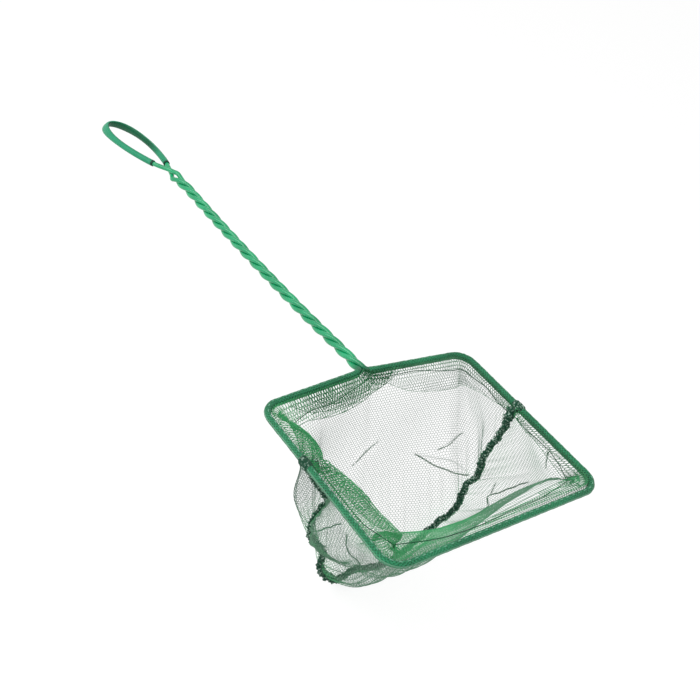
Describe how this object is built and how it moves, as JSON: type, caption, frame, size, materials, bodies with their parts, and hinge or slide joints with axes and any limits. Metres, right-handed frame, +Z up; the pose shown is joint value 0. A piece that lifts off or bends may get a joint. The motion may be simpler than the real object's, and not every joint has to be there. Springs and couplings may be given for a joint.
{
  "type": "aquarium fish net",
  "caption": "Hand net for fish: coated wire hoop on a handle of three twisted wires, a deep two-panel netting bag and a soft hanging loop.",
  "frame": {"origin": "under the middle of the whole net, at the level of the bag's lowest point", "axes": "+Y from the hoop along the handle to the hanging loop, +X across the mouth, +Z up out of the mouth, square to the hoop"},
  "size_m": [0.1554, 0.4422, 0.1216],
  "materials": {
    "steel_wire": "drawn steel, hidden inside the coat",
    "vinyl_coat": "smooth glossy green vinyl",
    "vinyl_tube": "soft satin green vinyl tube",
    "netting": "fine knitted green nylon mesh",
    "hem": "dense folded green mesh, stitched",
    "seam": "dark green gathered binding",
    "thread": "pale green sewing thread"
  },
  "bodies": {
    "root": {"wire_core": "steel_wire", "third_core": "steel_wire", "hoop_coat": "vinyl_coat", "strand_coat_left": "vinyl_coat", "strand_coat_right": "vinyl_coat", "strand_coat_third": "vinyl_coat", "hang_loop_tube": "vinyl_tube", "net_panel_back": "netting", "net_panel_front": "netting", "hem_back_left": "hem", "hem_back_right": "hem", "hem_front": "hem", "bag_seam": "seam", "bar_tack_left": "seam", "bar_tack_right": "seam", "hem_stitches": "thread", "seam_stitches": "thread"}
  },
  "joints": []
}
